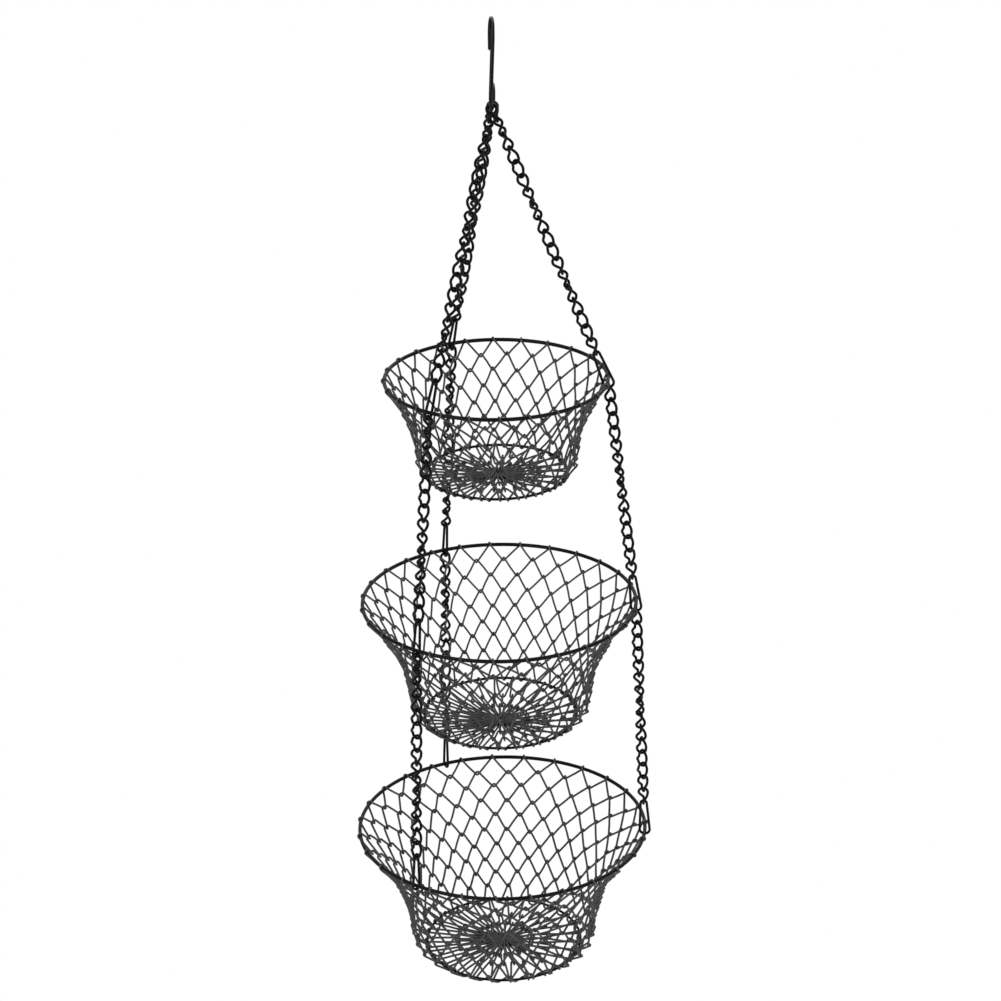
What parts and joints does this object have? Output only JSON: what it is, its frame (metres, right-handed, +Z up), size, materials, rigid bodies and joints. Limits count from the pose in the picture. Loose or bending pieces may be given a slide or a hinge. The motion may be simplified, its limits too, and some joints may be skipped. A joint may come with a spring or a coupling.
{
  "type": "hanging wire basket",
  "caption": "Tiered hanging fruit basket: flared hooked-wire bowls of growing size on chain strands below a ceiling hook.",
  "frame": {"origin": "inside of the top of the hook's bow, where it hangs on a ceiling fitting", "axes": "+Z up; one chain of each tier runs down over +X; the hook and its eye stand in the YZ plane, with the open tip towards -Y"},
  "size_m": [0.2764, 0.2757, 0.8928],
  "materials": {
    "hook_wire": "satin black enamel on bent wire",
    "chain_wire": "satin black enamel on twisted links",
    "hanger_wire": "satin black enamel on bent wire",
    "ring_wire": "satin black enamel on welded rings",
    "net_wire": "dark grey enamel on thin net wire, duller than the rings"
  },
  "bodies": {
    "hook": {"ceiling_hook": "hook_wire"},
    "top_basket": {"top_chain_right": "chain_wire", "top_chain_back": "chain_wire", "top_chain_front": "chain_wire", "top_hanger_right": "hanger_wire", "top_hanger_back": "hanger_wire", "top_hanger_front": "hanger_wire", "top_rim": "ring_wire", "top_rim_net": "net_wire", "top_side_net": "net_wire", "top_foot_net": "net_wire", "top_base_ring": "ring_wire", "top_bottom_net": "net_wire", "top_centre_ring": "ring_wire"},
    "mid_strand_right": {"mid_chain_right": "chain_wire", "mid_hanger_right": "hanger_wire"},
    "mid_strand_back": {"mid_chain_back": "chain_wire", "mid_hanger_back": "hanger_wire"},
    "mid_strand_front": {"mid_chain_front": "chain_wire", "mid_hanger_front": "hanger_wire"},
    "mid_basket": {"mid_rim": "ring_wire", "mid_rim_net": "net_wire", "mid_side_net": "net_wire", "mid_foot_net": "net_wire", "mid_base_ring": "ring_wire", "mid_bottom_net": "net_wire", "mid_centre_ring": "ring_wire"},
    "low_strand_right": {"low_chain_right": "chain_wire", "low_hanger_right": "hanger_wire"},
    "low_strand_back": {"low_chain_back": "chain_wire", "low_hanger_back": "hanger_wire"},
    "low_strand_front": {"low_chain_front": "chain_wire", "low_hanger_front": "hanger_wire"},
    "low_basket": {"low_rim": "ring_wire", "low_rim_net": "net_wire", "low_side_net": "net_wire", "low_foot_net": "net_wire", "low_base_ring": "ring_wire", "low_bottom_net": "net_wire", "low_centre_ring": "ring_wire"}
  },
  "joints": [
    {"name": "whole_swing", "type": "hinge", "parent": "hook", "child": "top_basket", "pos_m": [0, 0, -0.074], "axis": [0, 1, 0], "range_deg": [-15, 15]},
    {"name": "mid_swing_right", "type": "hinge", "parent": "top_basket", "child": "mid_strand_right", "pos_m": [0.09849, 0, -0.32227], "axis": [1, 0, 0], "range_deg": [-12, 12]},
    {"name": "mid_swing_back", "type": "hinge", "parent": "top_basket", "child": "mid_strand_back", "pos_m": [-0.04924, 0.08527, -0.32228], "axis": [1, 0, 0], "range_deg": [-12, 12]},
    {"name": "mid_swing_front", "type": "hinge", "parent": "top_basket", "child": "mid_strand_front", "pos_m": [-0.04924, -0.08527, -0.32228], "axis": [1, 0, 0], "range_deg": [-12, 12]},
    {"name": "mid_basket_level", "type": "hinge", "parent": "mid_strand_right", "child": "mid_basket", "pos_m": [0.12333, 0, -0.53627], "axis": [1, 0, 0], "range_deg": [-12, 12]},
    {"name": "low_swing_right", "type": "hinge", "parent": "mid_basket", "child": "low_strand_right", "pos_m": [0.12333, 0, -0.53627], "axis": [0, 1, 0], "range_deg": [-12, 12]},
    {"name": "low_swing_back", "type": "hinge", "parent": "mid_basket", "child": "low_strand_back", "pos_m": [-0.06166, 0.1068, -0.53627], "axis": [0, 1, 0], "range_deg": [-12, 12]},
    {"name": "low_swing_front", "type": "hinge", "parent": "mid_basket", "child": "low_strand_front", "pos_m": [-0.06166, -0.1068, -0.53627], "axis": [0, 1, 0], "range_deg": [-12, 12]},
    {"name": "low_basket_level", "type": "hinge", "parent": "low_strand_right", "child": "low_basket", "pos_m": [0.1325, 0, -0.76138], "axis": [0, 1, 0], "range_deg": [-12, 12]}
  ],
  "couplings": [
    {"joint": "mid_swing_back", "follows": "mid_swing_right", "ratio": 1},
    {"joint": "mid_swing_front", "follows": "mid_swing_right", "ratio": 1},
    {"joint": "mid_basket_level", "follows": "mid_swing_right", "ratio": -0.79838},
    {"joint": "low_swing_back", "follows": "low_swing_right", "ratio": 1},
    {"joint": "low_swing_front", "follows": "low_swing_right", "ratio": 1},
    {"joint": "low_basket_level", "follows": "low_swing_right", "ratio": -0.93077}
  ]
}
